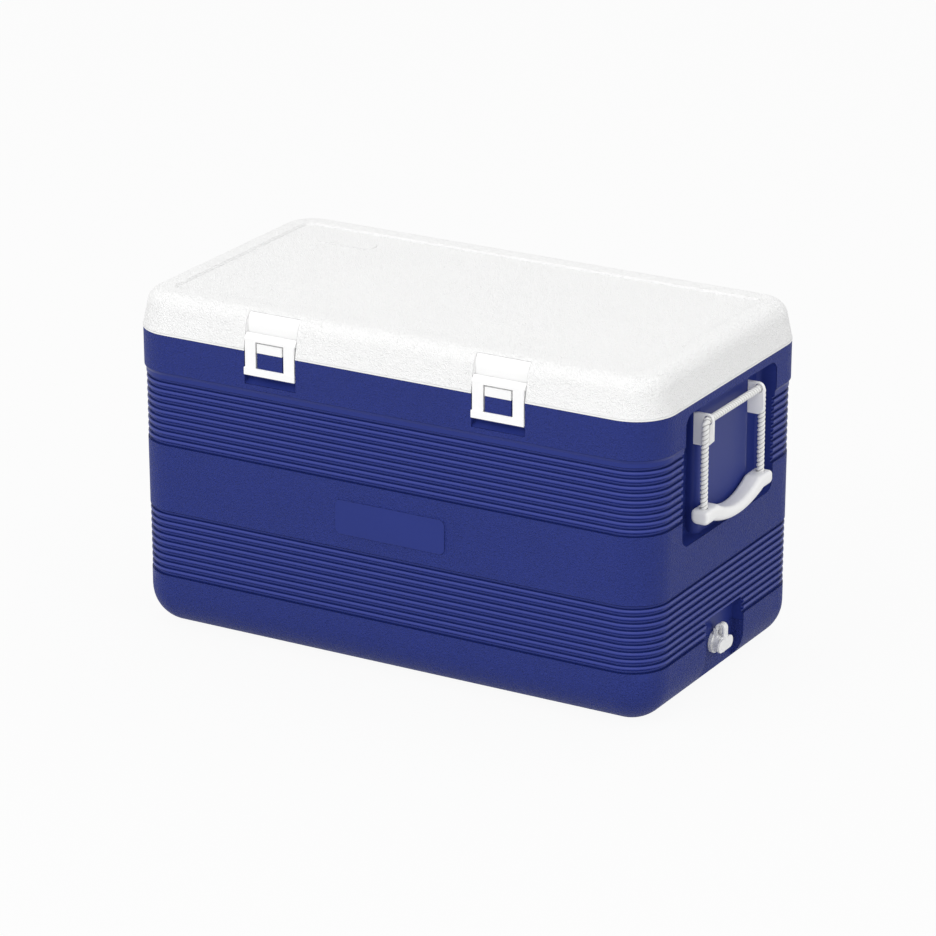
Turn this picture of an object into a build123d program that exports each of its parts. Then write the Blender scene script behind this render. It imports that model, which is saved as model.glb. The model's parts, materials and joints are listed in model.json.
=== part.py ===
from build123d import *
import os
from math import atan, cos, degrees, radians, sin, tan

# Large carrier box with a drafted, ribbed body, a hinged lid held by two window latches, a rope
# handle at each end and a drain. Millimetres. +X points to the drain end, -Y to the latches,
# +Z up. The origin is the centre of the base, on the ground.

# ---- Body ----
body_length = 700.0        # at the rim
body_width = 384.0         # at the rim
body_height = 371.5
corner_radius = 50.7       # upright corners, at the rim
body_draft = 0.3           # degrees, narrower towards the base
base_round = 46.0          # rounding between walls and base
shell_wall = 8.4           # of the band round the rim; a step thinner below it
band_height = 46.2         # plain band round the rim, proud of the walls below
band_step = 2.1
band_shoulder = 3.8        # height of the sloped step under the band
casing_wall = 5.0          # wall behind pockets and recesses

# ---- Ribs ----
rib_pitch = 8.667
rib_count = 10             # in each band
upper_band_drop = 59.8     # rim to the first ledge of the upper band
lower_band_drop = 225.4    # rim to the first ledge of the lower band
rib_height = 4.0           # crest of a rib
rib_slope = 1.8            # from a crest down into the groove below it
rib_ledge = 0.45           # from a groove out to the crest below it
rib_bulge = 0.5            # crests are round by this much
rib_crest_drop = 0.25      # crest below the plain wall
rib_groove_drop = 3.2      # groove below the plain wall

# ---- Tub inside the body ----
wall_thickness = 42.0      # outer wall to cavity, at the rim
floor_thickness = 30.0
tub_corner = 32.0
tub_draft = 1.0            # degrees
tub_floor_round = 7.0
tub_wall = 3.0

# ---- Lid ----
lid_gap = 0.4              # seam between rim and lid
lid_height = 47.0          # rim to the top of the lid
lid_overhang = 0.3         # lip of the lid proud of the body, all round
lid_lip = 2.0              # height of the straight lip
lid_draft = 11.6           # degrees
lid_round = 19.0           # rounding between sides and top
lid_wall = 4.0
panel_length = 624.0       # sunk panel in the top
panel_width = 304.0
panel_corner = 12.0
panel_depth = 3.0
panel_draft = 20.0         # degrees, slope of the step round the panel
label_length = 76.0        # blank raised lozenge on the panel
label_width = 25.0
label_corner = 11.0
label_height = 1.0
label_x = -226.5
label_y = 106.5
plug_depth = 10.0          # lid pan below the rim, inside the tub
plug_clearance = 3.0
plug_draft = 6.0           # degrees
seal_width = 6.0
seal_groove = 1.8
seal_clearance = 0.3       # closed seal above the rim

# ---- Plate in the middle band ----
plate_length = 146.0
plate_height = 42.0
plate_corner = 7.0
plate_proud = 1.0
plate_x = 7.0
plate_drop = 182.0         # rim to its centre

# ---- Latches ----
latch_spacing = 303.0      # centre to centre
latch_pocket_width = 69.6
latch_pocket_depth = 9.5   # behind the wall at the seam
latch_pocket_drop = 40.0   # rim to the lower lip of the pocket
latch_pocket_slope = 6.5   # height of the sloped floor of the pocket
latch_pocket_rise = 44.5   # rim to the upper end of the recess in the lid
latch_pocket_curve = 13.5  # height of the curved upper end
latch_pocket_back = 6.0    # how far the upper end curves back
latch_width = 66.8
latch_bar_width = 68.6     # of the bar and the head
latch_window_width = 38.0
latch_front = 0.2          # frame proud of the wall
latch_thickness = 7.9
latch_head_low = 14.6      # head above the rim
latch_top = 22.0           # above the rim
latch_facet = 5.7          # sloped top face, height and depth
latch_shoulder = 1.5       # cut off the upper back edge
latch_window_top = 13.1    # above the rim
latch_window_slope = 2.5   # behind the window's upper edge, clear of the lid's lug
latch_bar_top = 18.6       # below the rim
latch_bar_height = 9.0
latch_bar_proud = 1.8      # bar proud of the frame
latch_bar_thickness = 2.2
latch_bar_edge = 0.8
latch_lug_width = 34.0
latch_lug_rise = 11.6      # lid lug above the rim
latch_lug_drop = 25.0      # body lug below the rim
latch_lug_gap = 0.3        # between the bar and the lug behind it
latch_pin_radius = 1.2
latch_pin_rise = 18.6      # pin above the rim
latch_pin_back = 5.4       # pin behind the wall at the seam
latch_pin_seat = 3.0       # pin in each side wall
pin_play = 0.05            # radial, running

# ---- Hinges ----
hinge_spacing = 400.0
hinge_width = 70.0
hinge_lid_knuckle = 45.0   # width of the lid's knuckle
hinge_side_play = 0.4
hinge_barrel = 6.0         # radius
hinge_pin_radius = 2.5
hinge_offset = 6.8         # axis behind the body's back wall at the rim
hinge_plate = 3.0
hinge_plate_drop = 42.0    # rim to the lower end of the body leaf
hinge_plate_rise = 30.0    # rim to the upper end of the lid leaf
hinge_relief = 0.8         # round the other leaf's knuckles
hinge_arm_angle = 53.0     # degrees, where an arm meets its knuckle
hinge_arm_lap = 2.0        # arm and plate share this height
hinge_pin_end = 1.5        # pin beyond the knuckles
screw_radius = 2.0
screw_length = 14.0        # under the head
screw_head_radius = 3.8
screw_head = 2.2
screw_play = 0.1           # round a shank
screw_spread = 48.0        # two screws side by side
screw_low_row = 9.0        # above the lower end of the body leaf
screw_high_row = 15.0      # rim to the upper row of the body leaf
screw_lid_row = 18.6       # rim to the row of the lid leaf
screw_hole_spare = 0.5     # hole deeper than the shank
screw_head_draft = 18.0    # degrees

# ---- Handles ----
pocket_width = 230.0
pocket_height = 161.0
pocket_top_drop = 10.0     # rim to the upper edge
pocket_depth = 24.0
pocket_corner = 16.0
pocket_draft = 8.0         # degrees
pocket_floor_round = 8.0
pad_width = 134.0          # middle of the pocket, less deep
pad_depth = 10.6
pad_round = 9.0
ear_face = 66.2            # outer faces of the two ears, from the middle
ear_thickness = 4.4
ear_reach = 19.8           # from the pad
ear_top_drop = 22.0        # rim to the top of an ear
ear_height = 38.8
ear_round = 7.5
ear_chamfer = 7.0
ear_tenon_depth = 8.0
ear_tenon_height = 28.0
ear_tenon_thickness = 3.2
ear_leg_gap = 1.2          # between an ear and the leg of the rope beside it
rope_radius = 4.5
rope_drop = 29.5           # rim to the rope's run through the ears
rope_reach = 12.6          # from the pad
rope_bend = 6.0
rope_play = 0.9            # round the rope in an ear
grip_drop = 133.1          # rim to the flat top of the grip's ends
grip_end = 11.2            # grip beyond each leg
grip_width = 23.4
grip_height = 17.4         # of the ends
grip_corner = 7.5          # long rounding below
grip_dip = 14.4            # of the top, between the ends
grip_dip_half = 52.0
grip_bow = 11.7            # of the underside, between the ends
grip_bow_half = 61.0
grip_end_round = 1.2
grip_bore_depth = 9.0
grip_bore_play = 0.6

# ---- Drain ----
drain_recess_width = 97.0
drain_recess_top = 91.5    # upper edge above the base
drain_recess_depth = 19.0
drain_recess_corner = 12.0
drain_z = 46.0             # axis above the base
drain_bore = 6.4           # radius
drain_tube = 8.5           # radius
drain_flange = 13.0        # radius
drain_flange_thickness = 4.0
drain_mouth = 11.0         # radius
drain_mouth_length = 8.2
drain_hole_play = 0.2
drain_nut = 11.0           # across flats, half
drain_nut_thickness = 6.0
drain_washer = 11.2        # radius
drain_washer_thickness = 1.5
drain_boss = 13.0          # radius of the flat seat in the tub
drain_seat_proud = 0.5     # seat inside the drafted tub wall
drain_tube_end = 2.0       # tube beyond the nut
stopper_radius = 10.5
stopper_thickness = 2.0
stopper_nose = 1.6         # length of the nose in the bore
stopper_nose_play = 1.0    # lets the nose swing out of the bore
stopper_gap = 0.3
tab_length = 36.0
tab_height = 15.0
tab_thickness = 2.6        # of the tab and the strap
strap_width = 9.0
strap_rise = 2.0           # straight foot between pivot and arch
strap_pivot_reach = 2.6    # pivot in front of the flange
strap_pivot_lift = 3.0     # pivot above its lowest place over the flange
strap_pin_radius = 0.9
strap_cheek = 2.0          # thickness of a cheek beside the strap
strap_cheek_round = 1.8
strap_groove_width = 3.4
strap_groove_depth = 0.5

# ---- Values worked out from the sizes above ----
rim = body_height
front = -body_width / 2
back = body_width / 2
end = body_length / 2
lid_bottom = rim + lid_gap
lid_top = rim + lid_height
lid_inner_top = lid_top - panel_depth - lid_wall
cavity_length = body_length - 2 * wall_thickness
cavity_width = body_width - 2 * wall_thickness
latch_floor = front + latch_pocket_depth
latch_face = front - latch_front
latch_back = latch_face + latch_thickness
latch_pin_y = front + latch_pin_back
latch_pin_z = rim + latch_pin_rise
latch_pin_half = latch_pocket_width / 2 + latch_pin_seat
latch_places = (("left", -latch_spacing / 2), ("right", latch_spacing / 2))
hinge_y = back + hinge_offset
hinge_places = (("left", -hinge_spacing / 2), ("right", hinge_spacing / 2))
pocket_floor_x = end - pocket_depth
pad_x = end - pad_depth
pocket_mid = rim - pocket_top_drop - pocket_height / 2
ear_top = rim - ear_top_drop
ear_middle = ear_top - ear_height / 2
rope_x = pad_x + rope_reach
rope_z = rim - rope_drop
leg_y = ear_face + ear_leg_gap + rope_radius
grip_top = rim - grip_drop
recess_x = end - drain_recess_depth
flange_x = recess_x + drain_flange_thickness
drain_mouth_x = flange_x + drain_mouth_length
drain_seat_x = cavity_length / 2 - rim * tan(radians(tub_draft)) - drain_seat_proud
strap_pivot_x = flange_x + strap_pivot_reach
strap_pivot_z = drain_z + drain_flange + stopper_gap + tab_thickness / 2 + strap_pivot_lift
sole_length = body_length - 2 * band_step
sole_width = body_width - 2 * band_step
sole_corner = corner_radius - band_step
bar_front = latch_face - latch_bar_proud
bar_back = bar_front + latch_bar_thickness


def wall_y(height):
    """Distance of the drafted band from the middle of the body, at a height."""
    return body_width / 2 - (rim - height) * tan(radians(body_draft))


def low_wall_y(height):
    """The same for the walls below the band."""
    return wall_y(height) - band_step


def lid_y(height):
    """Distance of the drafted lid sides from the middle, at a height."""
    return body_width / 2 - (height - lid_bottom - lid_lip) * tan(radians(lid_draft))


def hanging_block(length, width, corner, bottom, draft, edge_round):
    """Rounded block from the rim down to a height, narrower towards its base."""
    with BuildPart() as block:
        with BuildSketch(Plane(origin=(0, 0, rim), x_dir=(1, 0, 0), z_dir=(0, 0, -1))):
            RectangleRounded(length, width, corner)
        extrude(amount=rim - bottom, taper=draft)
        fillet(block.faces().sort_by(Axis.Z)[0].edges(), edge_round)
    return block.part


def lid_block(inset, bottom, top):
    """Body of the lid: straight lip, drafted sides and a large rounding to the top."""
    outline = 2 * (lid_overhang - inset)
    with BuildPart() as block:
        with BuildSketch(Plane.XY.offset(bottom)):
            RectangleRounded(body_length + outline, body_width + outline, corner_radius + outline / 2)
        extrude(amount=lid_lip)
        with BuildSketch(Plane.XY.offset(bottom + lid_lip)):
            RectangleRounded(body_length - 2 * inset, body_width - 2 * inset, corner_radius - inset)
        extrude(amount=top - bottom - lid_lip, taper=lid_draft)
        fillet(block.faces().sort_by(Axis.Z)[-1].edges(), lid_round - inset)
    return block.part


def slab(bottom, top):
    """Flat slab wider than the whole box, between two heights."""
    with BuildPart() as plate:
        with BuildSketch(Plane.XY.offset(bottom)):
            Rectangle(2 * body_length, 2 * body_width)
        extrude(amount=top - bottom)
    return plate.part


def rim_band():
    """Plain band round the rim, proud of the walls below, with a sloped step under it."""
    inset = band_height * tan(radians(body_draft))
    with BuildPart() as band:
        with BuildSketch(Plane(origin=(0, 0, rim), x_dir=(1, 0, 0), z_dir=(0, 0, -1))):
            RectangleRounded(body_length, body_width, corner_radius)
        extrude(amount=band_height, taper=body_draft)
        with BuildSketch(Plane(origin=(0, 0, rim - band_height), x_dir=(1, 0, 0), z_dir=(0, 0, -1))):
            RectangleRounded(body_length - 2 * inset, body_width - 2 * inset, corner_radius - inset)
        extrude(amount=band_shoulder + 1, taper=degrees(atan(band_step / band_shoulder)))
    return band.part


def rib_band(first_ledge):
    """Ring that cuts one band of grooves between ribs, carried round the body."""
    middle = first_ledge - rib_pitch * (rib_count - 1) / 2
    inset = (rim - middle) * tan(radians(body_draft))
    half_length = sole_length / 2 - inset
    half_width = sole_width / 2 - inset
    corner = sole_corner - inset
    outside = -body_width / 2 - 5
    last_ledge = first_ledge - rib_pitch * (rib_count - 1)
    groove_top = first_ledge + rib_pitch - rib_height
    groove_low = groove_top - rib_slope
    shoulder = rib_crest_drop + rib_bulge

    def point(drop, height):
        return (-(low_wall_y(height) - drop), height)

    with BuildPart() as ring:
        with BuildLine(Plane.XY.offset(middle)) as path:
            Line((0, -half_width), (half_length - corner, -half_width))
            CenterArc((half_length - corner, -half_width + corner), corner, -90, 90)
            Line((half_length, -half_width + corner), (half_length, half_width - corner))
            CenterArc((half_length - corner, half_width - corner), corner, 0, 90)
            Line((half_length - corner, half_width), (0, half_width))
        with BuildSketch(Plane.YZ) as profile:
            with BuildLine():
                Polyline((outside, groove_top), point(0, groove_top), point(rib_groove_drop, groove_low))
                for rib in range(rib_count):
                    ledge = first_ledge - rib * rib_pitch
                    low = ledge + rib_pitch - rib_height - rib_slope
                    Line(point(rib_groove_drop, low), point(rib_groove_drop, ledge + rib_ledge))
                    if rib < rib_count - 1:
                        Line(point(rib_groove_drop, ledge + rib_ledge), point(shoulder, ledge))
                        ThreePointArc(point(shoulder, ledge),
                                      point(rib_crest_drop, ledge - rib_height / 2),
                                      point(shoulder, ledge - rib_height))
                        Line(point(shoulder, ledge - rib_height),
                             point(rib_groove_drop, low - rib_pitch))
                Polyline(point(rib_groove_drop, last_ledge + rib_ledge), point(0, last_ledge),
                         (outside, last_ledge), (outside, groove_top))
            make_face()
        sweep(sections=profile.sketch, path=path.line)
        mirror(about=Plane.YZ)
    return ring.part


def handle_pocket():
    """Hollow of the handle pocket in the +X end: deep at both sides of a middle pad."""
    margin = 5.0
    flare = 2 * margin * tan(radians(pocket_draft))
    with BuildPart() as pad:
        with BuildSketch(Plane.XY.offset(pocket_mid - pocket_height)):
            with Locations(((pad_x + pocket_floor_x) / 2 - margin, 0)):
                Rectangle(pad_x - pocket_floor_x + 2 * margin, pad_width)
        extrude(amount=2 * pocket_height)
        fillet(pad.edges().filter_by(Axis.Z).group_by(Axis.X)[-1], pad_round)
    with BuildPart() as pocket:
        with BuildSketch(Plane(origin=(end + margin, 0, pocket_mid), x_dir=(0, 1, 0), z_dir=(-1, 0, 0))):
            RectangleRounded(pocket_width + flare, pocket_height + flare, pocket_corner)
        extrude(amount=pocket_depth + margin, taper=pocket_draft)
        fillet(pocket.faces().sort_by(Axis.X)[0].edges(), pocket_floor_round)
        add(pad.part, mode=Mode.SUBTRACT)
    return pocket.part


def handle_casing():
    """Block that closes the wall behind a handle pocket."""
    with BuildPart() as casing:
        with BuildSketch(Plane(origin=(end + 1, 0, pocket_mid), x_dir=(0, 1, 0), z_dir=(-1, 0, 0))):
            Rectangle(pocket_width + 2 * casing_wall, pocket_height + 2 * casing_wall)
        extrude(amount=pocket_depth + casing_wall + 1)
    return casing.part


def drain_recess(wall, reach):
    """Recess for the drain, open at the base of the +X end, or the casing round it."""
    margin = 5.0
    top = drain_recess_top + wall
    with BuildPart() as recess:
        with BuildSketch(Plane(origin=(end + reach, 0, 0), x_dir=(0, 1, 0), z_dir=(-1, 0, 0))):
            with Locations((0, margin - top / 2)):
                Rectangle(drain_recess_width + 2 * wall, top + 2 * margin)
        extrude(amount=drain_recess_depth + wall + reach)
        fillet(recess.edges().filter_by(Axis.X).group_by(Axis.Z)[-1], drain_recess_corner + wall)
    return recess.part


def latch_pocket(x):
    """Hollow of one latch pocket, below and above the seam."""
    low = rim - latch_pocket_drop
    high = rim + latch_pocket_rise
    bend = high - latch_pocket_curve
    outside = front - latch_pocket_depth
    curve_radius = (latch_pocket_curve ** 2 + latch_pocket_back ** 2) / (2 * latch_pocket_back)
    with BuildPart() as pocket:
        with BuildSketch(Plane.YZ.offset(x - latch_pocket_width / 2)):
            with BuildLine():
                Polyline((outside, low - latch_pocket_slope), (latch_floor, low + latch_pocket_slope),
                         (latch_floor, bend))
                RadiusArc((latch_floor, bend), (latch_floor + latch_pocket_back, high), curve_radius)
                Polyline((latch_floor + latch_pocket_back, high), (outside, high),
                         (outside, low - latch_pocket_slope))
            make_face()
        extrude(amount=latch_pocket_width)
    return pocket.part


def latch_casing(x, wall):
    """Block that closes the wall behind one latch pocket."""
    low = rim - latch_pocket_drop - latch_pocket_slope
    high = rim + latch_pocket_rise
    with BuildPart() as casing:
        with BuildSketch(Plane.XY.offset(low)):
            with Locations((x, front + (latch_pocket_depth + wall) / 2)):
                Rectangle(latch_pocket_width + 2 * wall, latch_pocket_depth + wall)
        extrude(amount=high - low)
    return casing.part


def latch_lug(x, face, bottom, top):
    """Lug on the pocket floor that shows in the latch's window."""
    with BuildPart() as lug:
        with BuildSketch(Plane.XY.offset(bottom)):
            with Locations((x, (face + latch_floor + 1) / 2)):
                Rectangle(latch_lug_width, latch_floor + 1 - face)
        extrude(amount=top - bottom)
    return lug.part


def screw_planes(x, rows):
    """Planes of a hinge leaf's screws, one pair to a row, looking out of the plate."""
    return [Plane(origin=(x + side * screw_spread / 2, y, z), x_dir=(1, 0, 0), z_dir=normal)
            for y, z, normal in rows for side in (-1, 1)]


def rod(plane, radius, start, stop):
    """Round rod along a plane's normal."""
    with BuildPart() as bar:
        with BuildSketch(plane.offset(start)):
            Circle(radius)
        extrude(amount=stop - start)
    return bar.part


def cylinder_x(y, z, radius, start, stop):
    """Round rod along X."""
    with BuildPart() as bar:
        with BuildSketch(Plane(origin=(start, y, z), x_dir=(0, 1, 0), z_dir=(1, 0, 0))):
            Circle(radius)
        extrude(amount=stop - start)
    return bar.part


def screw_holes(planes):
    """Holes for the shanks of screws, through the leaf and into the wall behind it."""
    depth = screw_length + screw_hole_spare
    with BuildPart() as holes:
        for plane in planes:
            add(rod(plane, screw_radius + screw_play, -depth, depth))
    return holes.part


os.makedirs("parts", exist_ok=True)

# ---- Shared solids ----
body_form = hanging_block(sole_length, sole_width, sole_corner, 0, body_draft, base_round)
body_hollow = hanging_block(body_length - 2 * shell_wall, body_width - 2 * shell_wall,
                            corner_radius - shell_wall, shell_wall, body_draft,
                            base_round - shell_wall)
tub_form = hanging_block(cavity_length + 2 * tub_wall, cavity_width + 2 * tub_wall,
                         tub_corner + tub_wall, floor_thickness - tub_wall, tub_draft,
                         tub_floor_round + tub_wall)
cavity = hanging_block(cavity_length, cavity_width, tub_corner, floor_thickness, tub_draft,
                       tub_floor_round)
pocket_right = handle_pocket()
pocket_left = mirror(pocket_right, about=Plane.YZ)
casing_right = handle_casing()
casing_left = mirror(casing_right, about=Plane.YZ)
with BuildPart() as body_core:
    add(body_hollow)
    add(casing_right, mode=Mode.SUBTRACT)
    add(casing_left, mode=Mode.SUBTRACT)
    add(drain_recess(casing_wall, 1), mode=Mode.SUBTRACT)
    for name, x in latch_places:
        add(latch_casing(x, casing_wall), mode=Mode.SUBTRACT)

# Body leaf screws point out of the drafted back wall; lid leaf screws out of the lid's slope.
leaf_low = rim - hinge_plate_drop
leaf_high = rim + hinge_plate_rise
wall_normal = (0, cos(radians(body_draft)), -sin(radians(body_draft)))
body_rows = [(wall_y(z) + hinge_plate, z, wall_normal)
             for z in (leaf_low + screw_low_row, rim - screw_high_row)]
slope_normal = (0, cos(radians(lid_draft)), sin(radians(lid_draft)))
lid_row_z = rim + screw_lid_row
lid_rows = [(lid_y(lid_row_z) + hinge_plate / cos(radians(lid_draft)), lid_row_z, slope_normal)]
body_screw_planes = [plane for name, x in hinge_places for plane in screw_planes(x, body_rows)]
lid_screw_planes = [plane for name, x in hinge_places for plane in screw_planes(x, lid_rows)]

# ---- Body shell ----
with BuildPart() as body_shell:
    add(body_form)
    add(rim_band())
    with BuildSketch(Plane(origin=(plate_x, -low_wall_y(rim - plate_drop) + 2, rim - plate_drop),
                           x_dir=(1, 0, 0), z_dir=(0, -1, 0))):
        RectangleRounded(plate_length, plate_height, plate_corner)
    extrude(amount=2 + plate_proud)
    add(rib_band(rim - upper_band_drop), mode=Mode.SUBTRACT)
    add(rib_band(rim - lower_band_drop), mode=Mode.SUBTRACT)
    add(body_core.part, mode=Mode.SUBTRACT)
    add(pocket_right, mode=Mode.SUBTRACT)
    add(pocket_left, mode=Mode.SUBTRACT)
    add(drain_recess(0, 5), mode=Mode.SUBTRACT)
    for name, x in latch_places:
        add(latch_pocket(x), mode=Mode.SUBTRACT)
        add(latch_lug(x, bar_back + latch_lug_gap, rim - latch_lug_drop, rim))
    add(cylinder_x(0, drain_z, drain_tube + drain_hole_play, cavity_length / 2, end), mode=Mode.SUBTRACT)
    for side in (-1, 1):
        for face in (-1, 1):
            with BuildSketch(Plane(origin=(side * pad_x, 0, 0), x_dir=(0, side, 0), z_dir=(-side, 0, 0))):
                with Locations((side * face * (ear_face - ear_thickness / 2), -ear_middle)):
                    Rectangle(ear_tenon_thickness, ear_tenon_height)
            extrude(amount=ear_tenon_depth, mode=Mode.SUBTRACT)
    add(screw_holes(body_screw_planes), mode=Mode.SUBTRACT)
body_shell.part.label = "body_shell"

# ---- Tub and foam ----
with BuildPart() as body_liner:
    add(body_core.part)
    add(slab(0, rim - tub_wall), mode=Mode.SUBTRACT)
    add(tub_form)
    add(cylinder_x(0, drain_z, drain_boss, drain_seat_x, cavity_length / 2))
    add(cavity, mode=Mode.SUBTRACT)
    with BuildSketch(Plane(origin=(drain_seat_x, 0, drain_z), x_dir=(0, 1, 0), z_dir=(1, 0, 0))):
        Circle(drain_boss)
    extrude(amount=tub_wall)
    with BuildSketch(Plane(origin=(drain_seat_x, 0, drain_z), x_dir=(0, 1, 0), z_dir=(1, 0, 0))):
        Circle(drain_tube + drain_hole_play)
    extrude(amount=wall_thickness, mode=Mode.SUBTRACT)
body_liner.part.label = "body_liner"

with BuildPart() as body_foam:
    add(body_core.part)
    add(slab(rim - tub_wall, rim + 1), mode=Mode.SUBTRACT)
    add(tub_form, mode=Mode.SUBTRACT)
    add(cylinder_x(0, drain_z, drain_tube + drain_hole_play, cavity_length / 2 - wall_thickness, end),
        mode=Mode.SUBTRACT)
    add(cylinder_x(0, drain_z, drain_boss, drain_seat_x, cavity_length / 2), mode=Mode.SUBTRACT)
    add(screw_holes(body_screw_planes), mode=Mode.SUBTRACT)
body_foam.part.label = "body_foam"

# ---- Lid ----
with BuildPart() as lid_core:
    add(lid_block(lid_wall, lid_bottom, lid_inner_top))
    for name, x in latch_places:
        add(latch_casing(x, lid_wall), mode=Mode.SUBTRACT)

with BuildPart() as lid_shell:
    add(lid_block(0, lid_bottom, lid_top))
    with BuildSketch(Plane.XY.offset(lid_top)):
        RectangleRounded(panel_length, panel_width, panel_corner)
    extrude(amount=-panel_depth, taper=panel_draft, mode=Mode.SUBTRACT)
    with BuildSketch(Plane.XY.offset(lid_top - panel_depth - 1)):
        with Locations((label_x, label_y)):
            RectangleRounded(label_length, label_width, label_corner)
    extrude(amount=1 + label_height)
    add(lid_core.part, mode=Mode.SUBTRACT)
    for name, x in latch_places:
        add(latch_pocket(x), mode=Mode.SUBTRACT)
        add(latch_lug(x, latch_face, lid_bottom, rim + latch_lug_rise))
        add(cylinder_x(latch_pin_y, latch_pin_z, latch_pin_radius, x - latch_pin_half,
                       x + latch_pin_half), mode=Mode.SUBTRACT)
    add(screw_holes(lid_screw_planes), mode=Mode.SUBTRACT)
lid_shell.part.label = "lid_shell"

plug_length = cavity_length - 2 * plug_clearance
plug_width = cavity_width - 2 * plug_clearance
plug_corner = tub_corner - plug_clearance
seal_length = (cavity_length + body_length) / 2 - seal_width
seal_span = cavity_width / 2 - latch_floor - seal_width


def plug_block(inset, top, bottom):
    """Block of the lid pan that reaches down into the tub."""
    with BuildPart() as block:
        with BuildSketch(Plane(origin=(0, 0, top), x_dir=(1, 0, 0), z_dir=(0, 0, -1))):
            RectangleRounded(plug_length - 2 * inset, plug_width - 2 * inset, plug_corner - inset)
        extrude(amount=top - bottom, taper=plug_draft)
    return block.part


def seal_ring(bottom, top):
    """Flat ring that runs round the rim under the lid."""
    with BuildPart() as ring:
        with BuildSketch(Plane.XY.offset(bottom)):
            RectangleRounded(seal_length + seal_width, seal_span + seal_width, tub_corner + seal_width)
            RectangleRounded(seal_length - seal_width, seal_span - seal_width, tub_corner,
                             mode=Mode.SUBTRACT)
        extrude(amount=top - bottom)
    return ring.part


pan_top = lid_bottom + tub_wall
plug_bottom = lid_bottom - plug_depth
plug_hollow = plug_block(tub_wall, pan_top, plug_bottom + tub_wall)
with BuildPart() as lid_liner:
    add(lid_core.part)
    add(slab(pan_top, lid_top), mode=Mode.SUBTRACT)
    add(plug_block(0, lid_bottom + 1, plug_bottom))
    add(plug_hollow, mode=Mode.SUBTRACT)
    add(seal_ring(lid_bottom - 1, lid_bottom + seal_groove), mode=Mode.SUBTRACT)
lid_liner.part.label = "lid_liner"

with BuildPart() as lid_foam:
    add(lid_core.part)
    add(slab(0, pan_top), mode=Mode.SUBTRACT)
    add(plug_hollow)
    add(screw_holes(lid_screw_planes), mode=Mode.SUBTRACT)
lid_foam.part.label = "lid_foam"

with BuildPart() as lid_seal:
    add(seal_ring(rim + seal_clearance, lid_bottom + seal_groove))
lid_seal.part.label = "lid_seal"

# ---- Hinges ----
def side_plate(points, start, stop):
    """Plate with an outline in the YZ plane, between two places along X."""
    with BuildPart() as plate:
        with BuildSketch(Plane.YZ.offset(start)):
            with BuildLine():
                Polyline(*points, points[0])
            make_face()
        extrude(amount=stop - start)
    return plate.part


def hinge_knuckle(start, stop, radius):
    """Round knuckle on the hinge axis, between two places along X."""
    return cylinder_x(hinge_y, rim, radius, start, stop)


knuckle_room = hinge_barrel + hinge_relief
arm_y = hinge_y + hinge_barrel * cos(radians(hinge_arm_angle))
arm_rise = hinge_barrel * sin(radians(hinge_arm_angle))
plate_up = hinge_plate / cos(radians(lid_draft))
body_plate_top = rim - knuckle_room
body_plate = [(wall_y(leaf_low), leaf_low), (wall_y(leaf_low) + hinge_plate, leaf_low),
              (wall_y(body_plate_top) + hinge_plate, body_plate_top),
              (wall_y(body_plate_top), body_plate_top)]
body_arm_low = body_plate_top - hinge_arm_lap
body_arm = [(wall_y(body_arm_low), body_arm_low), (wall_y(body_arm_low) + hinge_plate, body_arm_low),
            (arm_y, rim - arm_rise), (hinge_y, rim), (hinge_y - hinge_barrel, rim),
            (wall_y(rim - hinge_plate), rim - hinge_plate)]
lid_plate_low = rim + knuckle_room
lid_plate = [(lid_y(lid_plate_low), lid_plate_low), (lid_y(lid_plate_low) + plate_up, lid_plate_low),
             (lid_y(leaf_high) + plate_up, leaf_high), (lid_y(leaf_high), leaf_high)]
lid_arm_top = lid_plate_low + hinge_arm_lap
lid_arm = [(lid_y(lid_arm_top), lid_arm_top), (lid_y(lid_arm_top) + plate_up, lid_arm_top),
           (arm_y, rim + arm_rise), (hinge_y, rim), (hinge_y - hinge_barrel, rim + lid_gap),
           (back + lid_overhang, lid_bottom + lid_lip)]

for name, x in hinge_places:
    low = x - hinge_width / 2
    high = x + hinge_width / 2
    inner_low = x - hinge_lid_knuckle / 2
    inner_high = x + hinge_lid_knuckle / 2
    with BuildPart() as hinge_body_leaf:
        add(side_plate(body_plate, low, high))
        for start, stop in ((low, inner_low - hinge_side_play), (inner_high + hinge_side_play, high)):
            add(side_plate(body_arm, start, stop))
            add(hinge_knuckle(start, stop, hinge_barrel))
            add(hinge_knuckle(start, stop, hinge_pin_radius), mode=Mode.SUBTRACT)
        add(screw_holes(screw_planes(x, body_rows)), mode=Mode.SUBTRACT)
    hinge_body_leaf.part.label = "hinge_body_leaf_" + name
    export_step(hinge_body_leaf.part, "parts/" + hinge_body_leaf.part.label + ".step")

    with BuildPart() as hinge_lid_leaf:
        add(side_plate(lid_plate, low, high))
        add(side_plate(lid_arm, inner_low, inner_high))
        add(hinge_knuckle(inner_low, inner_high, hinge_barrel))
        add(hinge_knuckle(inner_low, inner_high, hinge_pin_radius + pin_play), mode=Mode.SUBTRACT)
        add(screw_holes(screw_planes(x, lid_rows)), mode=Mode.SUBTRACT)
    hinge_lid_leaf.part.label = "hinge_lid_leaf_" + name
    export_step(hinge_lid_leaf.part, "parts/" + hinge_lid_leaf.part.label + ".step")

    with BuildPart() as hinge_pin:
        add(hinge_knuckle(low - hinge_pin_end, high + hinge_pin_end, hinge_pin_radius))
    hinge_pin.part.label = "hinge_pin_" + name
    export_step(hinge_pin.part, "parts/" + hinge_pin.part.label + ".step")


def screw_group(planes):
    """Pan-head screws, one to a plane: head outside, shank inwards."""
    with BuildPart() as screws:
        for plane in planes:
            add(rod(plane, screw_radius, -screw_length, screw_head / 2))
            with BuildSketch(plane):
                Circle(screw_head_radius)
            extrude(amount=screw_head, taper=screw_head_draft)
    return screws.part


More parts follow.
